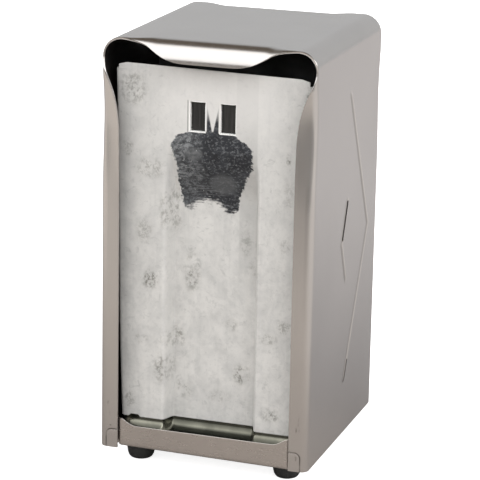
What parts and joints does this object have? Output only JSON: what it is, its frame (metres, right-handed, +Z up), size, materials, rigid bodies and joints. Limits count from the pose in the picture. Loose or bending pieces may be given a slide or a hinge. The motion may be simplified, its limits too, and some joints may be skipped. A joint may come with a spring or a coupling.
{
  "type": "napkin dispenser",
  "caption": "Free-standing two-sided metal dispenser for tall-fold paper napkins, with a spring-backed follower plate behind each open end.",
  "frame": {"origin": "on the table under the middle of the dispenser, level with the undersides of its feet", "axes": "+Z up, +X right, the front bay faces -Y"},
  "size_m": [0.0958, 0.102, 0.1905],
  "materials": {
    "stainless_shell": "fine-grained stainless sheet",
    "stainless_tray": "fine-grained stainless sheet",
    "galvanised_plate": "zinc-coated sheet with a worn dark patch",
    "dark_spring_steel": "blued spring strip with lengthwise grain",
    "zinc_sheet": "dull zinc-coated sheet",
    "steel_rivet": "plated steel",
    "black_rubber": "matt moulded rubber"
  },
  "bodies": {
    "housing": {"housing_shell": "stainless_shell", "base_tray": "stainless_tray", "slide_track": "zinc_sheet", "center_divider": "zinc_sheet", "divider_rivets": "steel_rivet", "spring_rivets": "steel_rivet", "front_leaf_spring": "dark_spring_steel", "rear_leaf_spring": "dark_spring_steel", "foot_washers": "steel_rivet", "foot_rivets": "steel_rivet", "foot_front_left": "black_rubber", "foot_front_right": "black_rubber", "foot_rear_left": "black_rubber", "foot_rear_right": "black_rubber"},
    "front_follower": {"front_follower_plate": "galvanised_plate"},
    "rear_follower": {"rear_follower_plate": "galvanised_plate"}
  },
  "joints": [
    {"name": "front_follower_slide", "type": "slide", "parent": "housing", "child": "front_follower", "axis": [0, 1, 0], "range_m": [0, 0.026], "stiffness_N_per_m": 120, "springref_m": -0.02, "deforming": ["front_leaf_spring"]},
    {"name": "rear_follower_slide", "type": "slide", "parent": "housing", "child": "rear_follower", "axis": [0, -1, 0], "range_m": [0, 0.026], "stiffness_N_per_m": 120, "springref_m": -0.02, "deforming": ["rear_leaf_spring"]}
  ]
}
